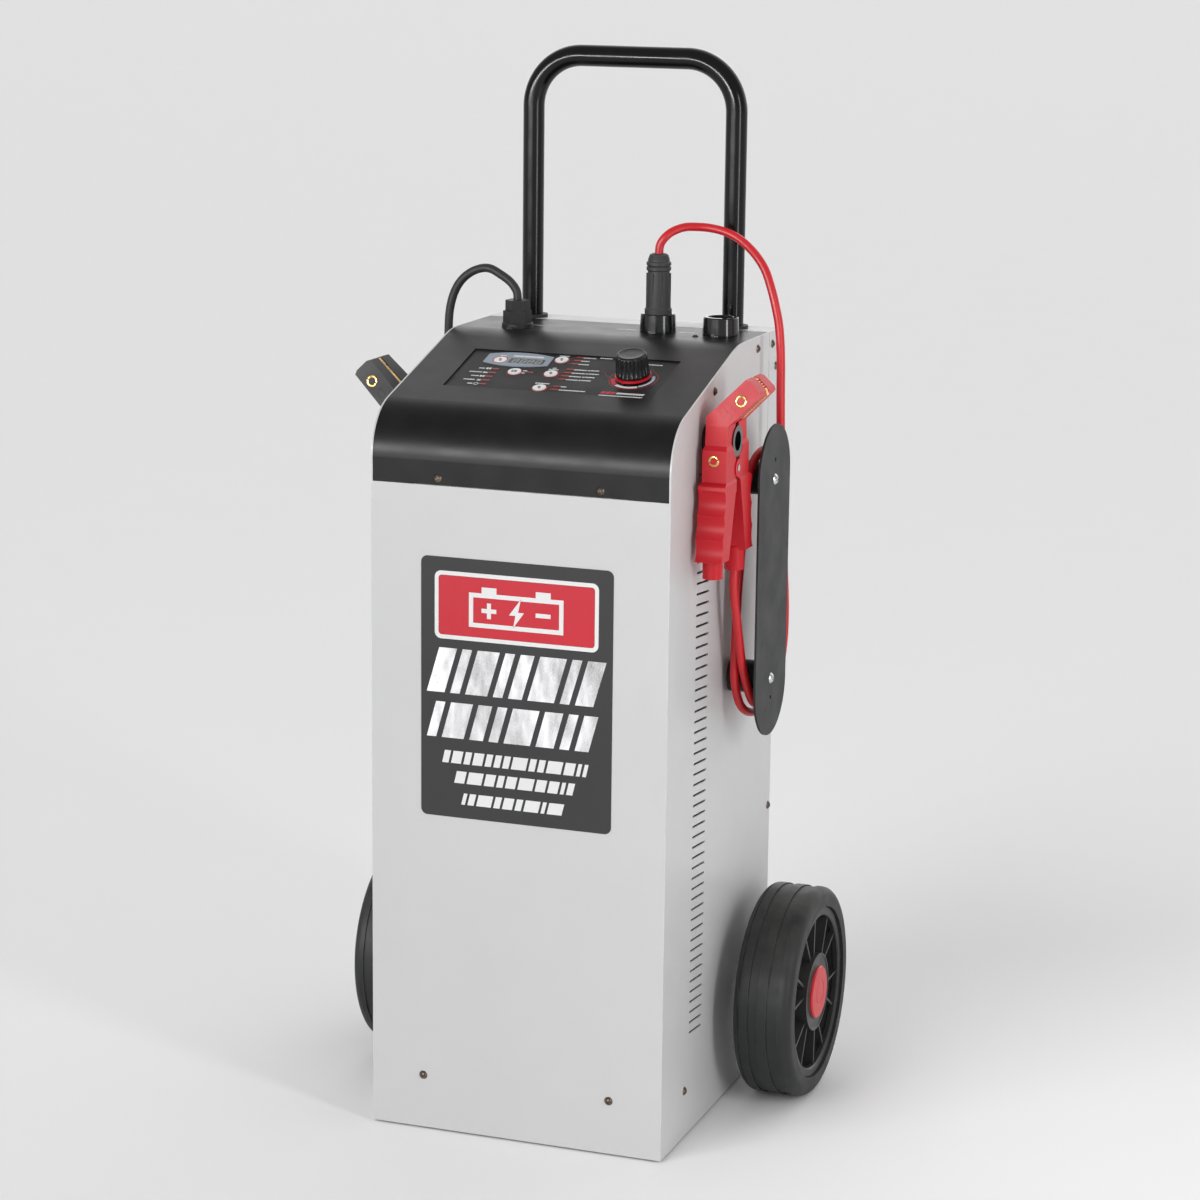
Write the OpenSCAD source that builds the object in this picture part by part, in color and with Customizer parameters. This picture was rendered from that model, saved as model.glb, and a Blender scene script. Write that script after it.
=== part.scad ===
// Wheeled workshop battery charger and engine starter.
// Frame: +X to the right seen from the front, +Y to the rear, +Z up.
// The origin lies on the floor under the middle of the outer box.
// Inside the modules Y = 0 is the outer face of the front panel; place() moves all to the origin.

/* [Cabinet] */
// Outer width of the cabinet
body_w = 280; // [270:1:290]
// Depth of the cabinet, front panel to rear panel
body_d = 310; // [304:1:318]
// Height of the front panel's top edge
panel_h = 600; // [590:1:606]
// Height of the hood's flat top
top_h = 714; // [706:1:722]
// Sheet metal thickness
sheet = 1.5; // [1.2:0.1:1.8]
// Height of the cabinet's bottom edge over the floor
foot_h = 2; // [2:0.5:4]
// Height where the hood's brow starts to curve back
brow_h = 622; // [618:1:626]
// Radius of the hood's brow
brow_r = 50; // [46:1:54]
// Angle of the control slope
slope_a = 16.6; // [16:0.1:17]
// Radius that blends the slope into the flat top
crest_r = 100; // [80:5:110]
// Depth where the hood ends and the handle cover starts
cover_y = 276; // [272:1:278]

/* [Side vents] */
// Number of louvre slots in each side
vent_n = 54; // [20:1:55]
// Distance between two slots
vent_pitch = 9.7; // [9:0.1:9.8]
// Length of a slot
vent_l = 36; // [30:1:40]
// Height of a slot
vent_h = 2.2; // [1.5:0.1:2.6]
// Rake of a slot, downwards to the rear
vent_rake = 5; // [0:1:8]
// Height of the top slot
vent_top = 611; // [600:1:612]

/* [Handle] */
// Distance between the two legs' axes
handle_w = 200; // [190:1:210]
// Height of the top of the handle
handle_top = 971; // [900:1:1000]
// Outer diameter of the tube
tube_d = 20; // [18:0.5:20]
// Wall of the tube
tube_wall = 1.5; // [1:0.1:2.5]
// Bend radius at the tube's axis
bend_r = 48; // [40:1:60]
// Depth of the handle's plane
handle_y = 289; // [288:1:291]

/* [Wheels] */
// Outer diameter of the tyre
wheel_d = 198; // [196:1:202]
// Width of the tyre
tyre_w = 56; // [54:1:58]
// Distance from the middle to a tyre's inner face
wheel_in = 163; // [162:1:166]
// Depth of the axle
axle_y = 226; // [223:1:228]
// Diameter of the axle
axle_d = 12; // [10:1:14]
// Radial running clearance of the wheel on the axle
axle_gap = 0.06; // [0.02:0.01:0.1]

/* [Controls] */
// Width of the control panel's opening
recess_w = 198; // [196:1:200]
// Length of the control panel's opening along the slope
recess_l = 81; // [79:1:83]
// Diameter of a push button
button_d = 12; // [11:0.5:12]
// Travel of a push button
button_travel = 0.8; // [0.4:0.1:0.8]
// Diameter of the knob's top
knob_d = 28; // [26:1:32]
// Height of the knob
knob_h = 20.4; // [18:0.1:24]

/* [Outputs] */
// Distance between the two output sockets
socket_gap = 61; // [56:1:64]
// Bore of a socket's contact
contact_d = 13; // [12:0.5:13]
// Diameter of a battery lead
lead_d = 8; // [7:0.1:8]

/* [Clamps] */
// Width of a clamp's grip
grip_w = 25; // [24:0.5:26]
// Length of the grip below the pivot
grip_l = 78; // [76:1:80]
// Width of a jaw
jaw_w = 20; // [18:1:20]
// Diameter of the peg a clamp is parked on
peg_d = 27.4; // [26:0.1:27.4]

/* [Hidden] */
$fn = 64;

// Outer box and the shift from the drawing's Y to the origin
head_h = 2.4;
head_r = 4;
wheel_r = wheel_d / 2;
gland_h = 11;
mid_y = (axle_y + wheel_r - head_h) / 2;
gap = 0.1;
screw_r = 2;
screw_l = 8;
drill_r = screw_r + 0.15;

// Hood outline
slope_y0 = brow_r * (1 - sin(slope_a));
slope_z0 = brow_h + brow_r * cos(slope_a);
crest_y = slope_y0 + (top_h - slope_z0) / tan(slope_a);
crest_cy = crest_y + crest_r * tan(slope_a / 2);
lip_d = 15;
tab_top = 696;

// Screws: [depth, height] on both sides, [across, height] on the front
tray_lip = 58;
foot_at = [30, 170];
side_screws = [[64, 46], [304, 70], [304, 253], [304, 500], [241, 703], [116, 681], [286, 702], [298, 680]];
front_screws = [[90, 52], [-90, 52], [76, 606.5], [-76, 606.5]];
hood_screws = [[87, 218], [-86, 195]];

// Control panel, measured from its middle: across and along the slope
panel_s = 71.3;
panel_margin = 4;
knob_at = [67.6, 0.6];
meter_at = [-67.4, 21.6];
start_at = [-45.3, -0.5];
mode_at = [-11, 29.9];
current_at = [-10.6, 0];
battery_at = [-10.4, -30.2];
bezel_at = [-50.8, 24.4];
bezel_size = [62.6, 29];
bezel_arc = 91;
bezel_t = 0.8;
window_at = [-41.8, 21.5];
window_size = [33.6, 10.2];
lens_size = [7, 2.4];
lens_at = concat(
    [for (i = [0:4]) [-65.2, 2.9 - 8.15 * i]],
    [[-30.9, 0.4]],
    [for (i = [0:2]) [4, 38 - 7.1 * i]],
    [for (i = [0:3]) [3.9, 11.8 - 7.1 * i]],
    [for (i = [0:1]) [4.2, -24.7 - 6.8 * i]]);
board_z = -8.1;
board_t = 1.6;
key_flange_r = button_d / 2 + 1;
key_flange_z = -sheet - 1.6;
knob_z = 4.6;
skirt_r = 16.2;
button_up = 0.9;
shaft_r = 3;

// Handle and its fixings
leg_x = handle_w / 2;
tube_r = tube_d / 2;
leg_bottom = 552;
bar_z = handle_top - tube_r;
bracket_rows = [560, 640];
bracket_h = 30;
bolt_z = bracket_rows[1] + bracket_h / 2;

// Outputs on the hood's top
plug_at = [44, 238];
free_at = [plug_at[0] + socket_gap, 238];
gland_at = [-86, 214];
collar_r = 17;
collar_h = 17;
neck_r = 13;
neck_l = 22;
contact_r = contact_d / 2;
contact_wall = 3.4;
mains_at = [-80, 120];

// Lead winders
winder_y = 180;
winder_z = [410, 594.6];
winder_r = 46;
winder_x = 176;
winder_t = 2;
winder_in = body_w / 2 - sheet - winder_x - winder_t;
winder_ends = [403.2, 598.8];

// Clamp: local frame with its origin on the pivot, X outwards, Y to the rear
red_clamp_at = [158, 95, 618];
black_clamp_at = [153, 102, 613];
peg_z = 24;
peg_gap = 0.3;
pin_r = 3;
ear_r = 8;
jaw_gap = 0.25;
jaw_back = 3.4;

// Wheels
collar_x = wheel_in - 1.6;
hub_l = 50;
axle_l = 430;
rim_r = 81;
tread_bands = [[6, 7.2], [15.5, 24.5], [33.5, 44]];
spoke_n = 6;

// Routes of the two leads, point by point from the housing to the clamp
red_route = [
    [44, 238, 786], [45, 238, 794], [49.4, 239, 801], [55.6, 243, 806.4], [65, 249, 810], [76, 254, 810.3],
    [87, 256, 809.6], [100, 256, 807.2], [113, 255, 802.4], [125, 252, 795], [136, 248, 785.4],
    [144.6, 245, 774], [151.2, 242, 759], [156.6, 240, 742], [160.6, 239, 724], [163, 238, 698],
    [163.8, 238, 660], [165, 238, 615], [167, 238, 575], [168, 240, 535], [168, 247, 495],
    [168, 253, 460], [168, 250, 425], [167, 236, 397], [163, 212, 380], [160, 186, 375],
    [156, 161, 386], [153, 150, 412], [153, 150, 445], [154, 150, 485], [156, 151, 525],
    [158, 151, 565], [160, 154, 595], [163, 168, 615], [166, 190, 619], [168, 211, 607],
    [169, 224, 578], [169, 230, 535], [169, 232, 490], [168, 230, 448], [168, 219, 412],
    [166, 194, 388], [165, 167, 390], [162, 146, 424], [160, 134, 465], [158, 126, 500],
    [158, 126, 521]];
black_route = [
    [-86, 214, 739], [-87, 214, 747], [-93, 214, 755], [-102.5, 214, 761.4], [-115, 214, 767],
    [-128.4, 214, 764.6], [-141, 214, 756], [-149.6, 214, 742.6], [-154.4, 214, 724], [-156.4, 216, 697],
    [-159, 222, 665], [-160, 231, 630], [-162, 239, 590], [-165, 245, 550], [-168, 250, 510],
    [-169, 252, 470], [-168, 248, 432], [-165, 235, 402], [-161, 210, 380], [-158, 182, 374],
    [-155, 158, 387], [-153, 149, 412], [-153, 149, 445], [-154, 150, 485], [-156, 151, 525],
    [-158, 151, 565], [-160, 154, 595], [-163, 168, 615], [-166, 190, 619], [-168, 211, 607],
    [-169, 224, 578], [-169, 231, 535], [-169, 233, 490], [-168, 229, 448], [-168, 218, 412],
    [-166, 193, 388], [-165, 167, 390], [-161, 149, 424], [-157, 139, 462], [-153, 133, 496],
    [-153, 133, 516]];
lead_sides = 8;

// ---------------------------------------------------------------- helpers

module place() {
    translate([0, -mid_y, 0]) children();
}

module both_sides() {
    children();
    mirror([1, 0, 0]) children();
}

// A plate in the YZ plane that starts at x and is t thick
module yz_plate(x, t) {
    translate([x, 0, 0]) rotate([90, 0, 90]) linear_extrude(t) children();
}

module ring(r_out, r_in, h) {
    difference() {
        cylinder(r = r_out, h = h);
        translate([0, 0, -1]) cylinder(r = r_in, h = h + 2);
    }
}

// Turned about the axle: local Z runs outwards along X
module on_axle(x) {
    translate([x, axle_y, wheel_r]) rotate([0, 90, 0]) children();
}

// Local Z is the outward normal of the control panel's surface
module on_panel() {
    translate([0, slope_y0, slope_z0]) rotate([slope_a, 0, 0]) translate([0, panel_s, -sheet]) children();
}

// Everything inside the hood's skin at depth t below the outer surface
module hood_region(t) {
    r = brow_r - t;
    a = slope_a;
    cz = top_h - crest_r;
    polygon([
        [t, 560], [t, brow_h], [brow_r - r * sin(a), brow_h + r * cos(a)],
        [crest_cy - (crest_r - t) * sin(a), cz + (crest_r - t) * cos(a)],
        [crest_cy, top_h - t], [body_d, top_h - t], [body_d, 560]]);
    translate([brow_r, brow_h]) circle(r = r, $fn = 128);
    intersection() {
        translate([crest_cy, cz]) circle(r = crest_r - t, $fn = 256);
        translate([crest_cy - crest_r, cz]) square([crest_r * 1.5, crest_r + 1]);
    }
}

module side_outline() {
    translate([0, foot_h]) square([body_d, panel_h - foot_h]);
    intersection() {
        hood_region(0);
        translate([0, panel_h - 1]) square([cover_y, top_h - panel_h + 2]);
    }
}

module screw_head(r, h) {
    dome = (r * r + h * h) / (2 * h);
    difference() {
        intersection() {
            translate([0, 0, h - dome]) sphere(r = dome);
            cylinder(r = r, h = h);
        }
        for (a = [0, 90]) rotate([0, 0, a + 20])
            translate([-r * 0.6, -0.5, h * 0.55]) cube([r * 1.2, 1, h]);
    }
}

module panel_screw(r, h) {
    screw_head(r, h);
    translate([0, 0, -screw_l]) cylinder(r = screw_r, h = screw_l);
}

module drill(r) {
    translate([0, 0, -screw_l * 2]) cylinder(r = r, h = screw_l * 3);
}

// Puts its children at every screw of one set, local Z pointing out of the cabinet
module at_side_screws() {
    both_sides() for (p = side_screws)
        translate([body_w / 2, p[0], p[1]]) rotate([0, 90, 0]) children();
}

module at_front_screws() {
    for (p = front_screws) translate([p[0], 0, p[1]]) rotate([90, 0, 0]) children();
}

module at_hood_screws() {
    for (p = hood_screws) translate([p[0], p[1], top_h]) children();
}

module at_winder_screws() {
    both_sides() for (z = winder_z)
        translate([body_w / 2, winder_y, z]) rotate([0, 90, 0]) children();
}

module at_legs() {
    both_sides() translate([leg_x, handle_y, 0]) children();
}

module at_handle_bolts() {
    both_sides() translate([leg_x, body_d, bolt_z]) rotate([-90, 0, 0]) children();
}

// ---------------------------------------------------------------- cabinet

module base_tray() {
    in_w = body_w - 2 * sheet - 2 * gap;
    color("Silver") place() difference() {
        union() {
            translate([-in_w / 2, sheet + gap, foot_h]) cube([in_w, body_d - 2 * sheet - 2 * gap, sheet]);
            both_sides() translate([in_w / 2 - sheet, sheet + gap, foot_h]) cube([sheet, 278, tray_lip]);
            translate([-in_w / 2, sheet + gap, foot_h]) cube([in_w, sheet, tray_lip]);
            translate([-120, body_d - 2 * sheet - gap, foot_h]) cube([240, sheet, 30]);
        }
        at_side_screws() drill(drill_r);
        at_front_screws() drill(drill_r);
        both_sides() for (y = foot_at) translate([110, y, -1]) cylinder(r = screw_r, h = 10);
    }
}

module rubber_feet() {
    color("Black") place() both_sides() for (y = foot_at) translate([110, y, 0]) {
        cylinder(r = 10, h = foot_h);
        cylinder(r = screw_r - 0.05, h = foot_h + sheet);
        translate([0, 0, foot_h + sheet]) cylinder(r = 4, h = 2);
    }
}

module cabinet_wrap() {
    inner_x = body_w / 2 - 2 * sheet;
    color("Gainsboro") place() difference() {
        union() {
            translate([-body_w / 2, 0, foot_h]) cube([body_w, sheet, panel_h - foot_h]);
            both_sides() yz_plate(body_w / 2 - sheet, sheet) side_outline();
            translate([-100, sheet, panel_h - 15]) cube([200, sheet, 31]);
            both_sides() {
                translate([inner_x, cover_y - 14, panel_h + 1])
                    cube([sheet, body_d - cover_y + 11, tab_top - panel_h - 1]);
                translate([inner_x, cover_y + 2, tab_top - 1]) cube([sheet, body_d - cover_y - 5, 13]);
            }
        }
        at_side_screws() drill(drill_r);
        at_front_screws() drill(drill_r);
        at_winder_screws() drill(screw_r + 0.7);
        for (k = [0:vent_n - 1])
            translate([-body_w / 2 - 1, 75, vent_top - k * vent_pitch]) rotate([-vent_rake, 0, 0])
                cube([body_w + 2, vent_l, vent_h]);
        on_axle(-body_w) cylinder(r = axle_d / 2 + 0.5, h = 2 * body_w);
    }
}

module rear_panel() {
    in_w = body_w - 2 * sheet - 2 * gap;
    color("Gainsboro") place() difference() {
        union() {
            translate([-in_w / 2, body_d - sheet, foot_h]) cube([in_w, sheet, panel_h - foot_h]);
            both_sides() translate([in_w / 2 - sheet, 290, foot_h + 34])
                cube([sheet, body_d - 290 - sheet / 2, panel_h - foot_h - 36]);
        }
        at_side_screws() drill(drill_r);
        for (k = [0:11]) translate([-60, body_d - 5, 430 - k * 14]) cube([120, 10, 5]);
        translate([mains_at[0], body_d - 5, mains_at[1]]) rotate([-90, 0, 0]) cylinder(r = 8.1, h = 10);
    }
}

module handle_cover() {
    low = panel_h + 0.6;
    color([0.2, 0.2, 0.21]) place() difference() {
        union() {
            translate([-body_w / 2, cover_y + 1, top_h - sheet]) cube([body_w, body_d - cover_y - 1, sheet]);
            translate([-body_w / 2, body_d - sheet, low]) cube([body_w, sheet, top_h - low]);
            both_sides() translate([body_w / 2 - sheet, cover_y + 1, low])
                cube([sheet, body_d - cover_y - 1, top_h - low]);
        }
        at_side_screws() drill(drill_r);
        at_handle_bolts() drill(3.15);
        at_legs() translate([0, 0, top_h - 10]) cylinder(r = tube_r + 1.6, h = 20);
    }
}

module hood() {
    low = panel_h + 0.6;
    skin_w = body_w - 2 * sheet - 2 * gap;
    color([0.13, 0.13, 0.13]) place() difference() {
        union() {
            yz_plate(-skin_w / 2, skin_w) intersection() {
                difference() {
                    hood_region(0);
                    hood_region(sheet);
                }
                translate([-5, low]) square([cover_y + 5, top_h]);
            }
            both_sides() yz_plate(skin_w / 2 - sheet, sheet) intersection() {
                difference() {
                    hood_region(sheet / 2);
                    hood_region(lip_d);
                }
                translate([sheet * 2 + 0.5, low + 20]) square([cover_y - sheet * 2 - 0.5, top_h]);
            }
        }
        at_side_screws() drill(drill_r);
        at_front_screws() drill(drill_r);
        at_hood_screws() drill(drill_r);
        on_panel() translate([-recess_w / 2, -recess_l / 2, -3]) cube([recess_w, recess_l, 20]);
        for (p = [plug_at, free_at]) translate([p[0], p[1], top_h - 10]) cylinder(r = neck_r + 0.1, h = 20);
        translate([gland_at[0], gland_at[1], top_h - 10]) cylinder(r = 9, h = 20);
    }
}

module front_label() {
    label_w = 181;
    label_l = 237;
    corner = 6;
    color([0.25, 0.25, 0.26]) place() translate([-label_w / 2 - 1.3, 0, 300]) rotate([90, 0, 0])
        linear_extrude(0.4) {
            translate([corner, 0]) square([label_w - 2 * corner, label_l]);
            translate([0, corner]) square([label_w, label_l - 2 * corner]);
            for (x = [corner, label_w - corner], y = [corner, label_l - corner])
                translate([x, y]) circle(r = corner);
        }
}

// ---------------------------------------------------------------- controls

module at_panel(p) {
    on_panel() translate([p[0], p[1], 0]) children();
}

module button_holes() {
    for (p = [meter_at, start_at, mode_at, current_at, battery_at])
        at_panel(p) translate([0, 0, -5]) cylinder(r = button_d / 2 + 0.15, h = 10);
}

module window_cut(margin) {
    at_panel(window_at) translate([0, 0, -2.5])
        cube([window_size[0] + 2 * margin, window_size[1] + 2 * margin, 10], center = true);
}

module control_panel() {
    w = recess_w + 2 * panel_margin;
    l = recess_l + 2 * panel_margin;
    color([0.16, 0.16, 0.17]) place() difference() {
        on_panel() translate([-w / 2, -l / 2, -sheet]) cube([w, l, sheet]);
        button_holes();
        window_cut(0.1);
        for (p = lens_at) at_panel(p)
            cube([lens_size[0] + 0.1, lens_size[1] + 0.1, 10], center = true);
        at_panel(knob_at) translate([0, 0, -5]) cylinder(r = shaft_r + 0.6, h = 10);
    }
}

module display_bezel() {
    half_l = bezel_size[1] / 2;
    color("LightSlateGray") place() difference() {
        at_panel(bezel_at) linear_extrude(bezel_t) intersection() {
            translate([0, half_l - bezel_arc]) circle(r = bezel_arc, $fn = 200);
            translate([0, bezel_arc - half_l]) circle(r = bezel_arc, $fn = 200);
            square(bezel_size, center = true);
        }
        button_holes();
        window_cut(0.1);
    }
}

module display_window() {
    color([0.3, 0.33, 0.32]) place() at_panel(window_at) {
        translate([-window_size[0] / 2, -window_size[1] / 2, -4])
            cube([window_size[0], window_size[1], 4 + bezel_t - 0.2]);
        translate([-window_size[0] / 2 - 1, -window_size[1] / 2 - 1, -4])
            cube([window_size[0] + 2, window_size[1] + 2, 4 - sheet]);
    }
}

module indicator_lenses() {
    color("Red") place() for (p = lens_at) at_panel(p) {
        translate([-lens_size[0] / 2, -lens_size[1] / 2, -sheet - 0.5])
            cube([lens_size[0], lens_size[1], sheet + 0.8]);
        translate([-lens_size[0] / 2 - 0.6, -lens_size[1] / 2 - 0.6, -sheet - 1])
            cube([lens_size[0] + 1.2, lens_size[1] + 1.2, 1]);
    }
}

module control_board() {
    color("DarkGreen") place() difference() {
        union() {
            at_panel([0, 0]) translate([-94, -40, board_z]) cube([188, 80, board_t]);
            for (x = [-90, 90], y = [-36, 36])
                at_panel([x, y]) translate([0, 0, board_z + board_t / 2])
                    cylinder(r = 3, h = -sheet - board_z - 0.8);
            for (p = [meter_at, start_at, mode_at, current_at, battery_at]) at_panel(p)
                translate([0, 0, board_z + board_t / 2])
                    cylinder(r = 2.5, h = key_flange_z - button_travel - 0.1 - board_z - board_t / 2);
        }
        at_panel(knob_at) translate([0, 0, -12]) cylinder(r = 9.3, h = 10);
    }
}

module encoder() {
    color("SlateGray") place() at_panel(knob_at) difference() {
        union() {
            translate([0, 0, -9]) cylinder(r = 9, h = 9 - sheet);
            translate([0, 0, -sheet - 1]) cylinder(r = shaft_r + 0.55, h = sheet + 3);
        }
        translate([0, 0, -10]) cylinder(r = shaft_r + 0.05, h = 20);
    }
}

module encoder_shaft() {
    color("Silver") place() at_panel(knob_at) translate([0, 0, -8]) cylinder(r = shaft_r, h = 28);
}

module knob_skirt() {
    color("Crimson") place() at_panel(knob_at) difference() {
        union() {
            translate([0, 0, 2.6]) cylinder(r = skirt_r, h = knob_z - 2.6);
            rotate([0, 0, -105]) translate([skirt_r - 1.6, 0, 2.6])
                cylinder(r = 3.4, h = knob_z - 2.6, $fn = 3);
        }
        cylinder(r = shaft_r + 1, h = 10);
    }
}

module selector_knob() {
    grip_r = knob_d / 2 + 0.9;
    foot = 2.6;
    crown = 2;
    flutes = 24;
    color([0.08, 0.08, 0.08]) place() at_panel(knob_at) translate([0, 0, knob_z]) difference() {
        union() {
            cylinder(r = grip_r, h = foot);
            translate([0, 0, foot]) linear_extrude(knob_h - foot - crown) difference() {
                circle(r = grip_r);
                for (i = [0:flutes - 1]) rotate(i * 360 / flutes)
                    translate([grip_r + 0.9, 0]) circle(r = 1.8, $fn = 24);
            }
            translate([0, 0, knob_h - crown]) cylinder(r1 = grip_r - 0.9, r2 = grip_r - 2.4, h = crown);
        }
        translate([0, 0, -1]) cylinder(r = shaft_r + 0.02, h = 20 - knob_z + 1);
        translate([0, 0, knob_h - 0.6]) cylinder(r = knob_d / 2 - 4.4, h = 2);
    }
}

module push_button(p) {
    color("White") place() at_panel(p) {
        translate([0, 0, -sheet - 0.7]) cylinder(r = button_d / 2, h = sheet + 0.7 + button_up);
        translate([0, 0, key_flange_z]) cylinder(r = key_flange_r, h = 1.4);
    }
}

module button_meter() { push_button(meter_at); }
module button_start() { push_button(start_at); }
module button_mode() { push_button(mode_at); }
module button_current() { push_button(current_at); }
module button_battery() { push_button(battery_at); }

// ---------------------------------------------------------------- handle

// The bent tube's outer or inner wall as a solid of radius r
module handle_path(r, extra) {
    both_sides() translate([leg_x, handle_y, leg_bottom - extra])
        cylinder(r = r, h = bar_z - bend_r - leg_bottom + extra);
    both_sides() translate([leg_x - bend_r, handle_y, bar_z - bend_r]) rotate([90, 0, 0])
        rotate_extrude(angle = 90) translate([bend_r, 0]) circle(r = r);
    translate([-leg_x + bend_r, handle_y, bar_z]) rotate([0, 90, 0])
        cylinder(r = r, h = handle_w - 2 * bend_r);
}

module handle_tube() {
    color([0.05, 0.05, 0.05]) place() difference() {
        handle_path(tube_r, 0);
        handle_path(tube_r - tube_wall, 1);
        at_handle_bolts() translate([0, 0, -60]) cylinder(r = 3.1, h = 61);
    }
}

module handle_bushes() {
    color("Black") place() at_legs() {
        translate([0, 0, top_h]) ring(tube_r + 4.5, tube_r + 0.02, 3);
        translate([0, 0, top_h - 6]) ring(tube_r + 1.5, tube_r + 0.02, 6.5);
    }
}

module handle_brackets() {
    color("DimGray") place() difference() {
        both_sides() for (z = bracket_rows)
            translate([leg_x - 17, 274.5, z]) cube([34, body_d - sheet - 0.1 - 274.5, bracket_h]);
        at_legs() translate([0, 0, leg_bottom]) cylinder(r = tube_r + 0.02, h = 160);
        at_handle_bolts() translate([0, 0, -60]) cylinder(r = 3.1, h = 61);
    }
}

module handle_bolts() {
    color("DimGray") place() at_handle_bolts() {
        screw_head(5.5, 3.4);
        translate([0, 0, -42]) cylinder(r = 3, h = 42);
        translate([0, 0, -39.5]) cylinder(r = 5.6, h = 4, $fn = 6);
    }
}

// ---------------------------------------------------------------- fasteners

module panel_screws() {
    color([0.15, 0.13, 0.12]) place() {
        at_side_screws() panel_screw(head_r, head_h);
        at_front_screws() panel_screw(head_r, head_h);
        at_hood_screws() panel_screw(head_r - 1, head_h - 0.6);
    }
}

// ---------------------------------------------------------------- outputs

module output_sockets() {
    color([0.05, 0.05, 0.06]) place() for (p = [plug_at, free_at]) translate([p[0], p[1], top_h])
        rotate_extrude() polygon([
            [contact_r + contact_wall + 0.02, -neck_l], [neck_r, -neck_l], [neck_r, 0], [collar_r, 0],
            [collar_r - 0.8, collar_h - 1], [collar_r - 1.6, collar_h], [collar_r - 5, collar_h],
            [collar_r - 5.8, collar_h - 1], [collar_r - 6, 0], [contact_r + contact_wall + 0.02, 0]]);
}

module socket_contacts() {
    color("Goldenrod") place() for (p = [plug_at, free_at])
        translate([p[0], p[1], top_h - neck_l]) ring(contact_r + contact_wall, contact_r, neck_l + 8);
}

module negative_gland() {
    color([0.1, 0.1, 0.1]) place() translate([gland_at[0], gland_at[1], top_h]) {
        rotate_extrude() polygon([
            [0, -15], [8.95, -15], [8.95, 0], [14.6, 0], [14.6, 3.4], [13.8, 4.4], [0, 4.4]]);
        rotate([0, 0, 20]) translate([0, 0, 4]) cylinder(r = 13.5, h = 11, $fn = 6);
        rotate([0, 0, 20]) translate([0, 0, 14]) cylinder(r = 11.4, h = 11, $fn = 6);
    }
}

module mains_gland() {
    color([0.1, 0.1, 0.1]) place() translate([mains_at[0], body_d, mains_at[1]]) rotate([-90, 0, 0])
        difference() {
            union() {
                translate([0, 0, -14]) cylinder(r = 8, h = 15);
                cylinder(r = 12, h = 6, $fn = 6);
                cylinder(r = 9.6, h = gland_h);
                translate([0, 0, -sheet - 8]) cylinder(r = 12, h = 8, $fn = 6);
            }
            translate([0, 0, -20]) cylinder(r = 4.2, h = 40);
        }
}

module clamp_pegs() {
    color([0.07, 0.07, 0.07]) for (side = [1, -1]) at_clamp(side)
        translate([body_w / 2 - clamp_at(side)[0], 0, peg_z]) rotate([0, 90, 0]) difference() {
            cylinder(r = peg_d / 2, h = 29);
            translate([0, 0, 9]) cylinder(r = 8.7, h = 21);
        }
}

// ---------------------------------------------------------------- winders

module winder_plates() {
    color([0.22, 0.22, 0.22]) place() both_sides() difference() {
        yz_plate(winder_x, winder_t) {
            for (z = winder_ends) translate([winder_y, z]) circle(r = winder_r);
            translate([winder_y - winder_r, winder_ends[0]])
                square([2 * winder_r, winder_ends[1] - winder_ends[0]]);
        }
        for (z = winder_z)
            translate([winder_x - 5, winder_y, z]) rotate([0, 90, 0]) cylinder(r = 2.7, h = 10);
        for (z = [winder_z[0] - 18, winder_z[1] + 18])
            translate([winder_x - 5, winder_y, z]) rotate([0, 90, 0]) cylinder(r = 2.2, h = 10);
    }
}

module winder_spacers() {
    color([0.07, 0.07, 0.07]) place() at_winder_screws() ring(15, 2.7, winder_x - body_w / 2);
}

module winder_screws() {
    color("Silver") place() at_winder_screws() translate([0, 0, winder_x - body_w / 2 + winder_t]) {
        screw_head(5, 3);
        translate([0, 0, -46]) cylinder(r = 2.5, h = 46);
        translate([0, 0, winder_in - 4]) cylinder(r = 4.6, h = 4, $fn = 6);
    }
}

// ---------------------------------------------------------------- axle and wheels

module axle() {
    color("Silver") place() on_axle(-axle_l / 2) cylinder(r = axle_d / 2, h = axle_l);
}

module axle_brackets() {
    color("DimGray") place() difference() {
        both_sides() translate([114, axle_y - 20, foot_h + sheet]) cube([22, 40, wheel_r + 16]);
        on_axle(-200) cylinder(r = axle_d / 2 + 0.01, h = 400);
    }
}

module axle_collars() {
    color("DarkGray") place() both_sides() {
        on_axle(body_w / 2 + 0.2) ring(11, axle_d / 2 + 0.01, collar_x - body_w / 2 - 0.6);
        on_axle(collar_x + hub_l + 0.5) ring(10, axle_d / 2 + 0.01, 2);
    }
}

module tyre_profile() {
    round_r = 9;
    difference() {
        union() {
            translate([rim_r, 0]) square([wheel_r - rim_r - round_r, tyre_w]);
            translate([rim_r, round_r]) square([wheel_r - rim_r, tyre_w - 2 * round_r]);
            for (z = [round_r, tyre_w - round_r]) translate([wheel_r - round_r, z]) circle(r = round_r);
        }
        for (b = tread_bands) translate([wheel_r - 1.2, b[0]]) square([4, b[1] - b[0]]);
    }
}

module tyre() {
    color([0.12, 0.12, 0.12]) place() on_axle(wheel_in) rotate_extrude($fn = 128) tyre_profile();
}

// Gap between two spokes
module spoke_gap() {
    linear_extrude(12) polygon([[38.5, -4.5], [70, -14.5], [70, 14.5], [38.5, 4.5]]);
}

// The two ribs along the edges of a gap
module spoke_ribs() {
    for (m = [0, 1]) mirror([0, m, 0]) translate([36, 4, 0]) rotate([0, 0, 17.6]) cube([39.5, 2.4, 11]);
}

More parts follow.
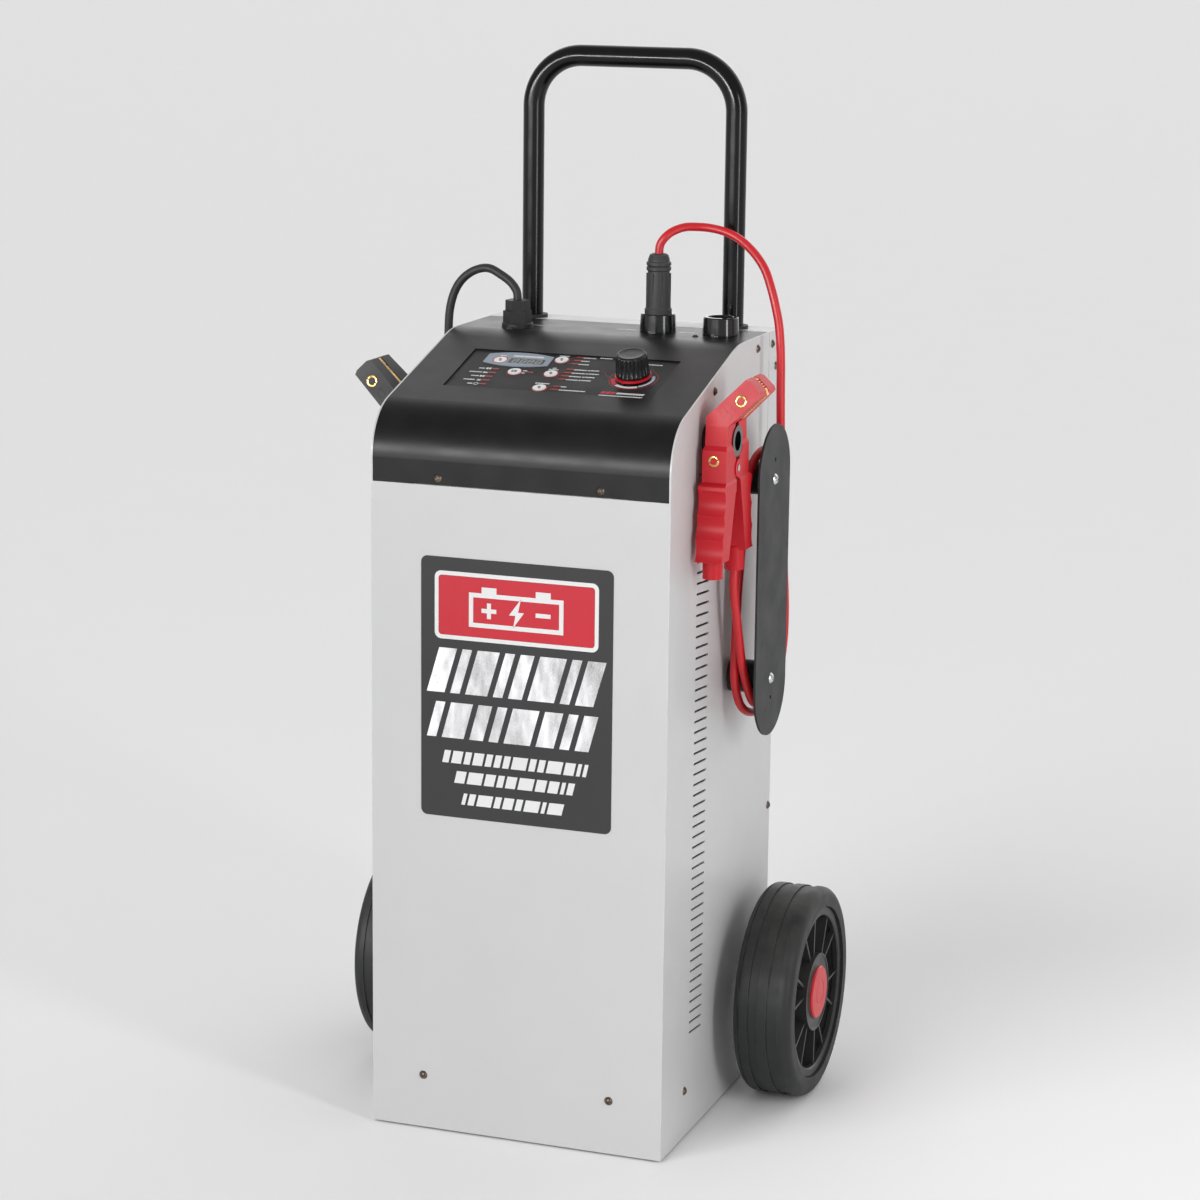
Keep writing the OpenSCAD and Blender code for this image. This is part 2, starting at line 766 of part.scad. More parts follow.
module rim() {
    hub_z = collar_x - wheel_in;
    color([0.2, 0.2, 0.21]) place() on_axle(wheel_in) {
        rotate_extrude($fn = 128) {
            translate([axle_d / 2 + axle_gap, hub_z]) square([20 - axle_d / 2, hub_l]);
            polygon([
                [rim_r, 4], [rim_r, 52.3], [rim_r - 1.2, 53.5], [73.5, 53.5], [72.3, 52.3], [72.3, 48],
                [73.4, 46.5], [73.4, 42], [74.6, 40.5], [74.6, 4]]);
            polygon([
                [19, 36], [36.7, 36], [36.7, 54], [35.2, 54], [34.6, 53.2], [26.2, 53.2], [25.6, 54],
                [19, 54]]);
        }
        difference() {
            translate([0, 0, 36]) ring(75, 19.5, 5);
            for (i = [0:spoke_n - 1]) rotate([0, 0, i * 360 / spoke_n + 15]) translate([0, 0, 32]) spoke_gap();
        }
        for (i = [0:spoke_n - 1]) rotate([0, 0, i * 360 / spoke_n + 15]) translate([0, 0, 40]) spoke_ribs();
    }
}

module hub_cap() {
    color("Crimson") place() on_axle(wheel_in) rotate_extrude() polygon([
        [0, 53.6], [14, 53.6], [14, 50], [18.8, 50], [18.8, 54], [24.9, 54], [24.9, 55.2], [23.6, 56.4],
        [12, 56.8], [11.3, 56.3], [10.6, 56.8], [0, 57]]);
}

module right_tyre() { tyre(); }
module right_rim() { rim(); }
module right_hub_cap() { hub_cap(); }
module left_tyre() { mirror([1, 0, 0]) tyre(); }
module left_rim() { mirror([1, 0, 0]) rim(); }
module left_hub_cap() { mirror([1, 0, 0]) hub_cap(); }

// ---------------------------------------------------------------- inside

module transformer_core() {
    color("SlateGray") place() translate([-80, 60, foot_h + sheet]) difference() {
        cube([160, 90, 136]);
        for (x = [27, 93]) translate([x, -1, 27]) cube([40, 92, 82]);
    }
}

module transformer_windings() {
    color("SaddleBrown") place() translate([0, 105, foot_h + sheet + 68]) difference() {
        translate([-52.5, -78, -40]) cube([105, 156, 80]);
        translate([-13.1, -45.1, -41]) cube([26.2, 90.2, 82]);
    }
}

module rectifier_heatsink() {
    fins = 11;
    color("LightGray") place() translate([-60, body_d - sheet - 40, 470]) {
        translate([0, 32, 0]) cube([120, 8, 80]);
        for (i = [0:fins - 1]) translate([i * 11.6, 0, 0]) cube([4, 33, 80]);
    }
}

// ---------------------------------------------------------------- plug and leads

module plug_body() {
    color([0.2, 0.2, 0.21]) place() translate([plug_at[0], plug_at[1], top_h]) difference() {
        union() {
            rotate_extrude() polygon([
                [0, 8.2], [10.8, 8.2], [10.8, 17], [12.6, 17], [12.6, 21], [11.6, 22], [10.2, 55],
                [10.2, 56], [11.4, 57], [11.4, 59.5], [10.4, 60.5], [11.4, 61.5], [11.4, 64], [10, 65],
                [10, 67], [8.5, 71], [6.5, 72], [0, 72]]);
            for (i = [0:5]) rotate([0, 0, i * 60 + 15]) translate([9.4, -1.2, 22]) cube([2, 2.4, 32]);
        }
        translate([0, 0, 8]) cylinder(r = contact_r - 0.08, h = 6);
    }
}

module plug_pin() {
    color("Goldenrod") place() translate([plug_at[0], plug_at[1], top_h - 18])
        cylinder(r = contact_r - 0.1, h = 32);
}

function unit(v) = v / norm(v);
function heading(p, i) = unit(p[min(i + 1, len(p) - 1)] - p[max(i - 1, 0)]);
function across(n, t) = unit(n - (n * t) * t);
function carry(p, i, n) = i == len(p) ? [] :
    let (m = across(n, heading(p, i))) concat([m], carry(p, i + 1, m));

// A round lead swept along its route, with one ring of points at every route point
module lead(p, d) {
    n = carry(p, 0, [1, 0, 0]);
    rings = [for (i = [0:len(p) - 1], s = [0:lead_sides - 1])
        let (a = 360 * s / lead_sides)
            p[i] + d / 2 * (cos(a) * n[i] + sin(a) * cross(heading(p, i), n[i]))];
    walls = [for (i = [0:len(p) - 2], s = [0:lead_sides - 1])
        let (q = (s + 1) % lead_sides)
            [i * lead_sides + s, (i + 1) * lead_sides + s, (i + 1) * lead_sides + q, i * lead_sides + q]];
    first = [for (s = [0:lead_sides - 1]) s];
    last = [for (s = [lead_sides - 1:-1:0]) (len(p) - 1) * lead_sides + s];
    polyhedron(rings, concat(walls, [first, last]));
}

module red_lead() {
    color("Red") place() lead(red_route, lead_d);
}

module black_lead() {
    color([0.12, 0.12, 0.12]) place() lead(black_route, lead_d);
}

// ---------------------------------------------------------------- clamps

function clamp_at(side) = side > 0 ? red_clamp_at : black_clamp_at;

module at_clamp(side) {
    place() mirror([side > 0 ? 0 : 1, 0, 0]) translate(clamp_at(side)) children();
}

// One half seen from the side: depth and height, for the half in front of the pivot
module half_side_view() {
    difference() {
        polygon([
            [-45, -grip_l], [-38.5, -12], [-37.5, -11], [-32, -9], [-31.5, 19], [-28, 23], [-27, 40], [-20, 84],
            [-jaw_back, 84], [-jaw_back, 45], [-5, 42], [-5, -10], [-24, -grip_l]]);
        translate([0, peg_z]) circle(r = peg_d / 2 + peg_gap);
        for (k = [0:2]) translate([-58.6 + k * 2.6, -66.5 + k * 20.5]) circle(r = 18);
    }
}

// One half seen from the front: across and height
module half_front_view() {
    half = grip_w / 2;
    polygon([
        [-half, -grip_l], [half, -grip_l], [half, -11], [half - 1.3, -9], [half - 1.3, 19], [jaw_w / 2, 23],
        [jaw_w / 2, 40], [37.7, 67.7], [36.5, 71.5], [27.5, 80.5], [23.5, 81.5], [-jaw_w / 2, 48],
        [-jaw_w / 2, 23], [-half + 1.3, 19], [-half + 1.3, -9], [-half, -11]]);
}

module bar_x(r, x0, x1) {
    translate([x0, 0, 0]) rotate([0, 90, 0]) cylinder(r = r, h = x1 - x0);
}

// A plastic half with ears from ear_in to ear_in + 4 on each side of the middle
module clamp_half(ear_in, stub_r, stub_l) {
    difference() {
        union() {
            intersection() {
                yz_plate(-20, 80) half_side_view();
                rotate([90, 0, 0]) translate([0, 0, -20]) linear_extrude(90) half_front_view();
            }
            translate([0, -31, -grip_l - stub_l]) cylinder(r = stub_r, h = stub_l + 2);
            for (x = [ear_in, -ear_in - 4]) bar_x(ear_r, x, x + 4);
        }
        bar_x(pin_r, -20, 20);
        both_sides() bar_x(ear_r + 0.4, 12 - ear_in - 0.2, 12 - ear_in + 4.2);
        bar_x(ear_r + 0.4, -3.9, 3.9);
    }
}

// Brass strip behind the plastic jaw, with notches along its lower edge and its tip
module jaw_strip() {
    difference() {
        translate([0, -jaw_gap, 0]) rotate([90, 0, 0]) linear_extrude(jaw_back - jaw_gap) polygon([
            [-9.4, 46], [15.4, 44.2], [37.8, 66.6], [36, 71.4], [27.4, 80], [23.7, 80.8], [-9.4, 47.7]]);
        for (k = [0:9]) translate([18.2 + k * 1.9, -2, 47 + k * 1.9]) cube([1.3, 8, 1.3], center = true);
        for (k = [0:3]) translate([34.5 - k * 1.9, -2, 72.9 + k * 1.9]) cube([1.3, 8, 1.3], center = true);
    }
}

module clamp_fixed_half(side) {
    at_clamp(side) mirror([0, 1, 0]) clamp_half(4, 9, 19);
}

module clamp_lever(side) {
    at_clamp(side) clamp_half(8.2, 9, 16);
}

module red_clamp_fixed_half() { color("Red") clamp_fixed_half(1); }
module red_clamp_lever() { color("Red") clamp_lever(1); }
module red_jaw_fixed() { color("DarkGoldenrod") at_clamp(1) mirror([0, 1, 0]) jaw_strip(); }
module red_jaw_moving() { color("DarkGoldenrod") at_clamp(1) jaw_strip(); }
module black_clamp_fixed_half() { color([0.15, 0.15, 0.15]) clamp_fixed_half(-1); }
module black_clamp_lever() { color([0.15, 0.15, 0.15]) clamp_lever(-1); }
module black_jaw_fixed() { color("DarkGoldenrod") at_clamp(-1) mirror([0, 1, 0]) jaw_strip(); }
module black_jaw_moving() { color("DarkGoldenrod") at_clamp(-1) jaw_strip(); }

module clamp_pins() {
    color("Silver") for (side = [1, -1]) at_clamp(side) bar_x(pin_r - 0.05, -12.6, 12.6);
}

module clamp_springs() {
    color("Gray") for (side = [1, -1]) at_clamp(side) for (x = [-3.6, -1.1, 1.4])
        translate([x, 0, 0]) rotate([0, 90, 0]) ring(6.5, pin_r + 0.2, 2.2);
}

// ---------------------------------------------------------------- output

base_tray();
rubber_feet();
cabinet_wrap();
rear_panel();
handle_cover();
hood();
front_label();
control_panel();
display_bezel();
display_window();
indicator_lenses();
control_board();
encoder();
encoder_shaft();
knob_skirt();
selector_knob();
button_meter();
button_start();
button_mode();
button_current();
button_battery();
handle_tube();
handle_bushes();
handle_brackets();
handle_bolts();
panel_screws();
output_sockets();
socket_contacts();
negative_gland();
mains_gland();
clamp_pegs();
winder_plates();
winder_spacers();
winder_screws();
axle();
axle_brackets();
axle_collars();
transformer_core();
transformer_windings();
rectifier_heatsink();
plug_body();
plug_pin();
red_lead();
black_lead();
red_clamp_fixed_half();
red_clamp_lever();
red_jaw_fixed();
red_jaw_moving();
black_clamp_fixed_half();
black_clamp_lever();
black_jaw_fixed();
black_jaw_moving();
clamp_pins();
clamp_springs();
right_tyre();
right_rim();
right_hub_cap();
left_tyre();
left_rim();
left_hub_cap();
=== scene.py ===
import math
import random

import bmesh
import bpy
from mathutils import Matrix, Vector


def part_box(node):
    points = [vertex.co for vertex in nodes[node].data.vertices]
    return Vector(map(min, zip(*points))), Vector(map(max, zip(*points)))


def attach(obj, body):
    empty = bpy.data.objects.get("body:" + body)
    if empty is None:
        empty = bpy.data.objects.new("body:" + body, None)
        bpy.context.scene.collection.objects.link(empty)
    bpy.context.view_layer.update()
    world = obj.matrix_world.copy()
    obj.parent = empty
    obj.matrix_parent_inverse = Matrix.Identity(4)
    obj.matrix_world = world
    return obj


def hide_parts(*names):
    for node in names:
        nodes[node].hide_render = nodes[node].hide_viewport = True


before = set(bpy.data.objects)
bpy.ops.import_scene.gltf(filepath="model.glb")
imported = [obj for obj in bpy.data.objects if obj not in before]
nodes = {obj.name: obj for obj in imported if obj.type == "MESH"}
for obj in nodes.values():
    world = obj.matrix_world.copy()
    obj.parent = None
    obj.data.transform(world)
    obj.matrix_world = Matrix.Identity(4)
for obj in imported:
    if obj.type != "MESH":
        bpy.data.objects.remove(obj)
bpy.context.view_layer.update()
random.seed(7)

# Drawing frame of the part: millimetres, Y = 0 at the outer face of the front panel
MM = 0.001
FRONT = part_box("cabinet_wrap")[0].y


def at(x, y, z):
    """Metres in the shared frame, from millimetres in the drawing frame."""
    return Vector((x * MM, FRONT + y * MM, z * MM))


def new_object(name, data):
    ob = bpy.data.objects.new(name, data)
    bpy.context.scene.collection.objects.link(ob)
    return ob


# ---------------------------------------------------------------- camera

CAMERA_PLACE = (1031.66, -2627.37, 1120.55)
CAMERA_TURN = (19.977, 12.311, 0.650)
LENS = 98.93


def add_camera():
    """Camera at a place, turned by a yaw to the left, a pitch down and a roll, in degrees."""
    yaw, pitch, roll = (math.radians(a) for a in CAMERA_TURN)
    forward = Vector((-math.sin(yaw) * math.cos(pitch), math.cos(yaw) * math.cos(pitch), -math.sin(pitch)))
    right = Vector((math.cos(yaw), math.sin(yaw), 0))
    up = right.cross(forward)
    x = right * math.cos(roll) + up * math.sin(roll)
    y = up * math.cos(roll) - right * math.sin(roll)
    turn = Matrix((x, y, -forward)).transposed().to_4x4()
    data = bpy.data.cameras.new("camera")
    data.lens = LENS
    data.sensor_width = 36
    data.clip_end = 50
    cam = new_object("camera", data)
    cam.matrix_world = Matrix.Translation(at(*CAMERA_PLACE)) @ turn
    bpy.context.scene.camera = cam


add_camera()


# ---------------------------------------------------------------- materials

def material(name, color, rough, metal=0.0, spread=0.07, blotch=7.0, grain=1500.0, bump=0.12,
             depth=0.0002, rough_spread=0.06, edge=None, edge_r=0.0007, stretch=(1, 1, 1), coat=0.0,
             dust=None, specular=0.5):
    """A procedural finish: blotches and grain in the colour, uneven roughness, fine relief,
    and if given a worn edge colour and dust (colour, amount) on faces that look up."""
    mat = bpy.data.materials.new(name)
    mat.use_nodes = True
    tree = mat.node_tree
    make, link = tree.nodes.new, tree.links.new
    shader = tree.nodes["Principled BSDF"]
    shader.inputs["Metallic"].default_value = metal
    shader.inputs["Coat Weight"].default_value = coat
    shader.inputs["Coat Roughness"].default_value = 0.12
    shader.inputs["Specular IOR Level"].default_value = specular
    coord = make("ShaderNodeTexCoord")
    mapping = make("ShaderNodeMapping")
    mapping.inputs["Scale"].default_value = stretch
    link(coord.outputs["Object"], mapping.inputs["Vector"])

    def noise(scale, detail=4.0, source=mapping):
        n = make("ShaderNodeTexNoise")
        n.inputs["Scale"].default_value = scale
        n.inputs["Detail"].default_value = detail
        link(source.outputs[0], n.inputs["Vector"])
        return n

    def mix(factor, a, b):
        m = make("ShaderNodeMix")
        m.data_type = "RGBA"
        link(factor, m.inputs["Factor"])
        for socket, value in ((m.inputs[6], a), (m.inputs[7], b)):
            if isinstance(value, tuple):
                socket.default_value = (*value, 1)
            else:
                link(value, socket)
        return m.outputs[2]

    def ramp(source, low, high, to_low=0.0, to_high=1.0):
        r = make("ShaderNodeMapRange")
        for key, value in (("From Min", low), ("From Max", high), ("To Min", to_low), ("To Max", to_high)):
            r.inputs[key].default_value = value
        link(source, r.inputs["Value"])
        return r.outputs["Result"]

    dark = tuple(c * (1 - spread) for c in color)
    light = tuple(min(1.0, c * (1 + spread)) for c in color)
    base = mix(ramp(noise(blotch).outputs["Fac"], 0.3, 0.7), dark, light)
    fine = noise(grain, 3.0)
    speck = tuple(min(1.0, c * (1 + spread * 0.8)) for c in color)
    base = mix(ramp(fine.outputs["Fac"], 0.45, 0.75, 0, 0.5), base, speck)
    if dust:
        settle = make("ShaderNodeNewGeometry")
        split = make("ShaderNodeSeparateXYZ")
        link(settle.outputs["Normal"], split.inputs[0])
        amount = make("ShaderNodeMath")
        amount.operation = "MULTIPLY"
        link(ramp(split.outputs["Z"], 0.1, 1.0, 0, dust[1]), amount.inputs[0])
        link(ramp(noise(38).outputs["Fac"], 0.35, 0.7), amount.inputs[1])
        base = mix(amount.outputs[0], base, dust[0])
    if edge:
        soft = make("ShaderNodeBevel")
        soft.samples = 4
        soft.inputs["Radius"].default_value = edge_r
        flat = make("ShaderNodeNewGeometry")
        dot = make("ShaderNodeVectorMath")
        dot.operation = "DOT_PRODUCT"
        link(soft.outputs[0], dot.inputs[0])
        link(flat.outputs["Normal"], dot.inputs[1])
        worn = make("ShaderNodeMath")
        worn.operation = "MULTIPLY"
        link(ramp(dot.outputs["Value"], 0.99, 0.86), worn.inputs[0])
        link(ramp(noise(70).outputs["Fac"], 0.42, 0.62), worn.inputs[1])
        base = mix(worn.outputs[0], base, edge)
    link(base, shader.inputs["Base Color"])
    smoothest = max(0.03, rough - rough_spread)
    patches = noise(blotch * 5).outputs["Fac"]
    link(ramp(patches, 0.3, 0.7, smoothest, rough + rough_spread), shader.inputs["Roughness"])
    relief = make("ShaderNodeBump")
    relief.inputs["Strength"].default_value = bump
    relief.inputs["Distance"].default_value = depth
    link(fine.outputs["Fac"], relief.inputs["Height"])
    link(relief.outputs[0], shader.inputs["Normal"])
    return mat


GREY = (0.605, 0.605, 0.61)
DUST = (0.22, 0.21, 0.19)
grey_paint = material("grey_paint", GREY, 0.42, spread=0.012, grain=1400, bump=0.10,
                      edge=(0.86, 0.86, 0.86), coat=0.1)
hood_paint = material("hood_paint", (0.008, 0.008, 0.0085), 0.34, spread=0.10, grain=1700, bump=0.22,
                      rough_spread=0.03, edge=(0.1, 0.1, 0.1), dust=((0.2, 0.2, 0.2), 0.03),
                      specular=0.22)
winder_paint = material("winder_paint", (0.020, 0.021, 0.021), 0.5, spread=0.1, bump=0.2,
                        edge=(0.12, 0.12, 0.12), specular=0.3)
handle_paint = material("handle_paint", (0.005, 0.005, 0.0055), 0.2, spread=0.1, bump=0.04, coat=0.12,
                        edge=(0.08, 0.08, 0.08), specular=0.22)
panel_film = material("panel_film", (0.020, 0.020, 0.021), 0.46, spread=0.08, grain=2600, bump=0.15,
                      specular=0.2)
label_film = material("label_film", (0.042, 0.042, 0.044), 0.5, spread=0.06, grain=2400, bump=0.1,
                      specular=0.2)
black_gloss = material("black_gloss", (0.006, 0.0065, 0.007), 0.13, spread=0.1, bump=0.03, coat=0.3,
                       specular=0.4)
knob_black = material("knob_black", (0.008, 0.008, 0.0085), 0.28, spread=0.1, bump=0.05,
                      edge=(0.1, 0.1, 0.1), specular=0.35)
black_plastic = material("black_plastic", (0.026, 0.026, 0.027), 0.45, spread=0.12, grain=1600, bump=0.16,
                         edge=(0.09, 0.09, 0.09), specular=0.25)
soft_black = material("soft_black", (0.05, 0.05, 0.051), 0.55, spread=0.1, grain=1300, bump=0.2,
                      edge=(0.14, 0.14, 0.14), specular=0.3)
rim_plastic = material("rim_plastic", (0.034, 0.034, 0.034), 0.4, spread=0.12, grain=900, bump=0.12,
                       edge=(0.1, 0.1, 0.1), dust=(DUST, 0.15), specular=0.3)
tyre_rubber = material("tyre_rubber", (0.024, 0.025, 0.025), 0.52, spread=0.14, blotch=16, grain=1100,
                       bump=0.25, edge=(0.1, 0.1, 0.1), dust=(DUST, 0.18), specular=0.3)
rubber = material("rubber", (0.018, 0.018, 0.018), 0.6, spread=0.15, bump=0.3)
red_plastic = material("red_plastic", (0.58, 0.010, 0.02), 0.42, spread=0.08, grain=900, bump=0.14,
                       edge=(0.74, 0.06, 0.06), edge_r=0.0009, specular=0.3)
knob_red = material("knob_red", (0.6, 0.012, 0.02), 0.3, spread=0.06, bump=0.05)
cap_red = material("cap_red", (0.62, 0.01, 0.02), 0.35, spread=0.05, bump=0.12, edge=(0.75, 0.1, 0.1))
red_jacket = material("red_jacket", (0.62, 0.012, 0.02), 0.36, spread=0.06, blotch=30, grain=700,
                      bump=0.1)
black_jacket = material("black_jacket", (0.036, 0.036, 0.037), 0.46, spread=0.1, blotch=30, grain=700,
                        bump=0.12, specular=0.3)
button_white = material("button_white", (0.82, 0.82, 0.81), 0.35, spread=0.03, bump=0.05)
bezel_grey = material("bezel_grey", (0.28, 0.33, 0.39), 0.42, spread=0.04, bump=0.08, grain=2400,
                      specular=0.25)
lcd = material("lcd", (0.085, 0.09, 0.085), 0.25, spread=0.06, bump=0.02, specular=0.25)
lens_red = material("lens_red", (0.26, 0.03, 0.025), 0.3, spread=0.15, bump=0.03, specular=0.3)
zinc = material("zinc", (0.62, 0.63, 0.65), 0.26, metal=1.0, spread=0.08, grain=900, bump=0.08,
                rough_spread=0.1)
dull_zinc = material("dull_zinc", (0.42, 0.42, 0.42), 0.42, metal=1.0, spread=0.12, grain=500, bump=0.15,
                     rough_spread=0.1)
dark_screw = material("dark_screw", (0.14, 0.11, 0.09), 0.34, metal=0.9, spread=0.25, blotch=200,
                      grain=1500, bump=0.1)
brass = material("brass", (0.72, 0.46, 0.17), 0.28, metal=1.0, spread=0.12, blotch=60, grain=1500,
                 bump=0.1, rough_spread=0.12)
braid = material("braid", (0.30, 0.17, 0.07), 0.45, metal=0.8, spread=0.45, blotch=500, grain=900,
                 bump=0.8, depth=0.0008)
copper = material("copper", (0.5, 0.16, 0.06), 0.3, metal=0.7, spread=0.12, blotch=40, stretch=(1, 1, 24),
                  bump=0.4)
laminations = material("laminations", (0.12, 0.12, 0.13), 0.5, metal=0.6, spread=0.15, grain=500,
                       stretch=(0.05, 4, 0.05), bump=0.6)
alu = material("alu", (0.6, 0.61, 0.62), 0.36, metal=1.0, spread=0.06, stretch=(1, 1, 0.05), bump=0.15)
board_green = material("board_green", (0.02, 0.13, 0.05), 0.35, spread=0.12, blotch=120, bump=0.05)
print_white = material("print_white", (0.80, 0.80, 0.80), 0.5, spread=0.03, bump=0.03, specular=0.3)
print_grey = material("print_grey", (0.40, 0.41, 0.40), 0.5, spread=0.04, bump=0.03, specular=0.3)
print_red = material("print_red", (0.40, 0.03, 0.03), 0.5, spread=0.05, bump=0.03, specular=0.3)
print_field = material("print_field", (0.58, 0.014, 0.03), 0.45, spread=0.04, bump=0.03, specular=0.3)
print_dark = material("print_dark", (0.02, 0.02, 0.02), 0.5, spread=0.05, bump=0.03, specular=0.3)
print_pale = material("print_pale", (0.50, 0.55, 0.63), 0.45, spread=0.04, bump=0.03, specular=0.3)
foil = material("foil", (0.66, 0.66, 0.67), 0.34, metal=0.6, spread=0.42, blotch=30, bump=0.05,
                rough_spread=0.12, stretch=(1, 1, 0.35))

# Which finish each CAD node wears
dressing = {
    grey_paint: ["cabinet_wrap", "rear_panel", "handle_cover"],
    hood_paint: ["hood"],
    winder_paint: ["winder_plates"],
    handle_paint: ["handle_tube"],
    panel_film: ["control_panel"],
    label_film: ["front_label"],
    bezel_grey: ["display_bezel"],
    lcd: ["display_window"],
    lens_red: ["indicator_lenses"],
    board_green: ["control_board"],
    rubber: ["rubber_feet", "handle_bushes"],
    dull_zinc: ["base_tray", "encoder", "encoder_shaft", "handle_brackets", "axle_brackets", "clamp_springs"],
    zinc: ["winder_screws", "axle", "axle_collars", "clamp_pins"],
    dark_screw: ["panel_screws", "handle_bolts"],
    black_gloss: ["output_sockets", "clamp_pegs"],
    knob_black: ["selector_knob"],
    black_plastic: ["mains_gland", "winder_spacers", "negative_gland"],
    soft_black: ["plug_body", "black_clamp_fixed_half", "black_clamp_lever"],
    brass: ["socket_contacts", "plug_pin", "red_jaw_fixed", "red_jaw_moving", "black_jaw_fixed",
            "black_jaw_moving"],
    laminations: ["transformer_core"],
    copper: ["transformer_windings"],
    alu: ["rectifier_heatsink"],
    knob_red: ["knob_skirt"],
    cap_red: ["right_hub_cap", "left_hub_cap"],
    red_plastic: ["red_clamp_fixed_half", "red_clamp_lever"],
    button_white: ["button_meter", "button_start", "button_mode", "button_current", "button_battery"],
    rim_plastic: ["right_rim", "left_rim"],
    tyre_rubber: ["right_tyre", "left_tyre"],
    red_jacket: ["red_lead"],
    black_jacket: ["black_lead"],
}
for finish, names in dressing.items():
    for name in names:
        for holder in nodes[name].material_slots:
            holder.material = finish


# ---------------------------------------------------------------- leads

RED_ROUTE = [
    (44, 238, 786), (45, 238, 794), (49.4, 239, 801), (55.6, 243, 806.4), (65, 249, 810), (76, 254, 810.3),
    (87, 256, 809.6), (100, 256, 807.2), (113, 255, 802.4), (125, 252, 795), (136, 248, 785.4),
    (144.6, 245, 774), (151.2, 242, 759), (156.6, 240, 742), (160.6, 239, 724), (163, 238, 698),
    (163.8, 238, 660), (165, 238, 615), (167, 238, 575), (168, 240, 535), (168, 247, 495), (168, 253, 460),
    (168, 250, 425), (167, 236, 397), (163, 212, 380), (160, 186, 375), (156, 161, 386), (153, 150, 412),
    (153, 150, 445), (154, 150, 485), (156, 151, 525), (158, 151, 565), (160, 154, 595), (163, 168, 615),
    (166, 190, 619), (168, 211, 607), (169, 224, 578), (169, 230, 535), (169, 232, 490), (168, 230, 448),
    (168, 219, 412), (166, 194, 388), (165, 167, 390), (162, 146, 424), (160, 134, 465), (158, 126, 500),
    (158, 126, 521)]
BLACK_ROUTE = [
    (-86, 214, 739), (-87, 214, 747), (-93, 214, 755), (-102.5, 214, 761.4), (-115, 214, 767),
    (-128.4, 214, 764.6), (-141, 214, 756), (-149.6, 214, 742.6), (-154.4, 214, 724), (-156.4, 216, 697),
    (-159, 222, 665), (-160, 231, 630), (-162, 239, 590), (-165, 245, 550), (-168, 250, 510),
    (-169, 252, 470), (-168, 248, 432), (-165, 235, 402), (-161, 210, 380), (-158, 182, 374),
    (-155, 158, 387), (-153, 149, 412), (-153, 149, 445), (-154, 150, 485), (-156, 151, 525),
    (-158, 151, 565), (-160, 154, 595), (-163, 168, 615), (-166, 190, 619), (-168, 211, 607),
    (-169, 224, 578), (-169, 231, 535), (-169, 233, 490), (-168, 229, 448), (-168, 218, 412),
    (-166, 193, 388), (-165, 167, 390), (-161, 149, 424), (-157, 139, 462), (-153, 133, 496),
    (-153, 133, 516)]
LEAD_D = 8 * MM
LEAD_STEPS = 6


def smooth_path(points, steps):
    """Catmull-Rom through the route's points."""
    out = []
    for i in range(len(points) - 1):
        a = points[max(i - 1, 0)]
        b, c = points[i], points[i + 1]
        d = points[min(i + 2, len(points) - 1)]
        for k in range(steps):
            t = k / steps
            out.append(0.5 * (2 * b + (c - a) * t + (2 * a - 5 * b + 4 * c - d) * t ** 2
                              + (3 * b - a - 3 * c + d) * t ** 3))
    return out + [points[-1]]


def lead(name, route, finish, node):
    """A round lead on a route, held by the object at both ends, in place of its CAD node."""
    path = smooth_path([at(*p) for p in route], LEAD_STEPS)
    data = bpy.data.curves.new(name, "CURVE")
    data.dimensions = "3D"
    data.bevel_depth = LEAD_D / 2
    data.bevel_resolution = 5
    data.use_fill_caps = True
    data.materials.append(finish)
    line = data.splines.new("POLY")
    line.points.add(len(path) - 1)
    for dot, p in zip(line.points, path):
        dot.co = (*p, 1)
    line.use_smooth = True
    ob = new_object(name, data)
    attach(ob, "cabinet")
    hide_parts(node)
    return ob


lead("red_lead_line", RED_ROUTE, red_jacket, "red_lead")
lead("black_lead_line", BLACK_ROUTE, black_jacket, "black_lead")


# ---------------------------------------------------------------- softer edges of moulded parts

def soften(name, width, angle=32, segments=2):
    """A small bevel, in millimetres, on the edges of a CAD node that are sharper than an angle."""
    edge = nodes[name].modifiers.new("soft_edge", "BEVEL")
    edge.width = width * MM
    edge.segments = segments
    edge.limit_method = "ANGLE"
    edge.angle_limit = math.radians(angle)
    edge.use_clamp_overlap = True
    edge.harden_normals = False


for colour in ("red", "black"):
    soften(colour + "_clamp_fixed_half", 1.1)
    soften(colour + "_clamp_lever", 1.1)
for name in ("winder_plates", "cabinet_wrap", "hood"):
    soften(name, 0.25, segments=1)


# ---------------------------------------------------------------- thin raised pieces

def prism(outline, low, high):
    """Closed solid over a flat outline, between two heights."""
    n = len(outline)
    points = [(u, v, low) for u, v in outline] + [(u, v, high) for u, v in outline]
    walls = [(i, (i + 1) % n, n + (i + 1) % n, n + i) for i in range(n)]
    return points, walls + [tuple(range(n))[::-1], tuple(range(n, 2 * n))]


def piece(name, solids, place, finish, body):
    """One mesh made of solids, each (points, faces) in a local frame that place() turns into metres."""
    points, faces = [], []
    for solid_points, solid_faces in solids:
        start = len(points)
        points += [tuple(place(*q)) for q in solid_points]
        faces += [tuple(start + i for i in face) for face in solid_faces]
    mesh = bpy.data.meshes.new(name)
    mesh.from_pydata(points, [], faces)
    work = bmesh.new()
    work.from_mesh(mesh)
    bmesh.ops.recalc_face_normals(work, faces=work.faces)
    work.to_mesh(mesh)
    work.free()
    mesh.materials.append(finish)
    ob = new_object(name, mesh)
    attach(ob, body)
    return ob


def rect(u0, v0, u1, v1, lean=0.0):
    """A box, or a leaning bar whose top is moved by lean."""
    return [(u0, v0), (u1, v0), (u1 + lean, v1), (u0 + lean, v1)]


